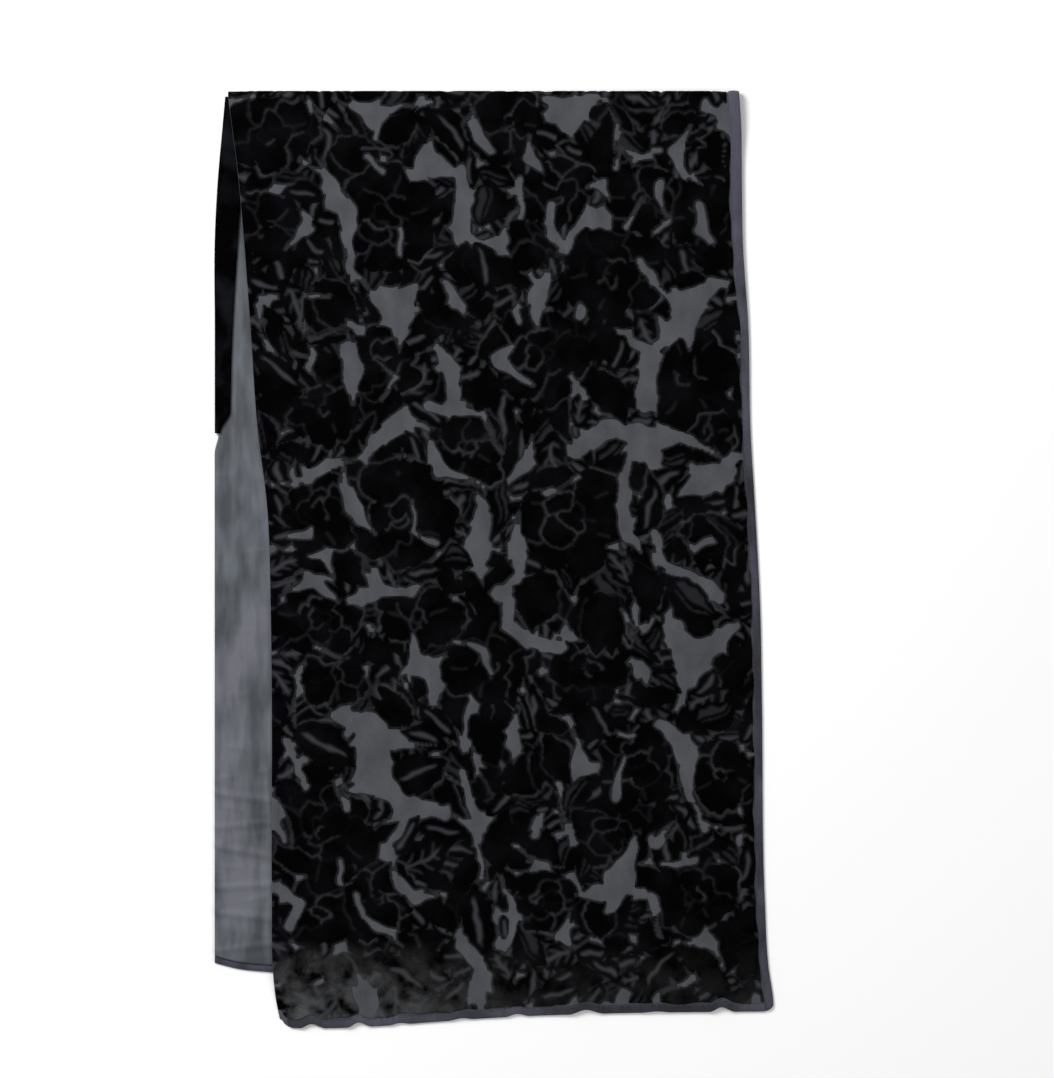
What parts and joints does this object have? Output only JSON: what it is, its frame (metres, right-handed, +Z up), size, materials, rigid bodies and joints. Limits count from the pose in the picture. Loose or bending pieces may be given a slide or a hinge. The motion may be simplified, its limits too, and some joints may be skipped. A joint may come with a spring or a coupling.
{
  "type": "evening stole",
  "caption": "Lined evening stole of black floral burnt-out velvet on a slate grey ground, folded once across and laid flat.",
  "frame": {"origin": "on the surface the stole lies on, below the middle of its outline", "axes": "+X across the cloth to the right of the picture, +Y along the cloth towards the fold, +Z up from the surface"},
  "size_m": [0.5666, 0.95, 0.011],
  "materials": {
    "velvet": "black pile in flowers and leaves on a sheer slate grey ground",
    "lining": "plain grey woven lining with a soft sheen",
    "hem": "plain woven ground turned in and rolled"
  },
  "bodies": {
    "root": {"upper_layer": "velvet", "lower_layer": "velvet", "turned_edge": "velvet", "lining": "lining", "upper_hem_left": "hem", "upper_hem_right": "hem", "upper_hem_end": "hem", "lower_hem_end": "hem"}
  },
  "joints": []
}
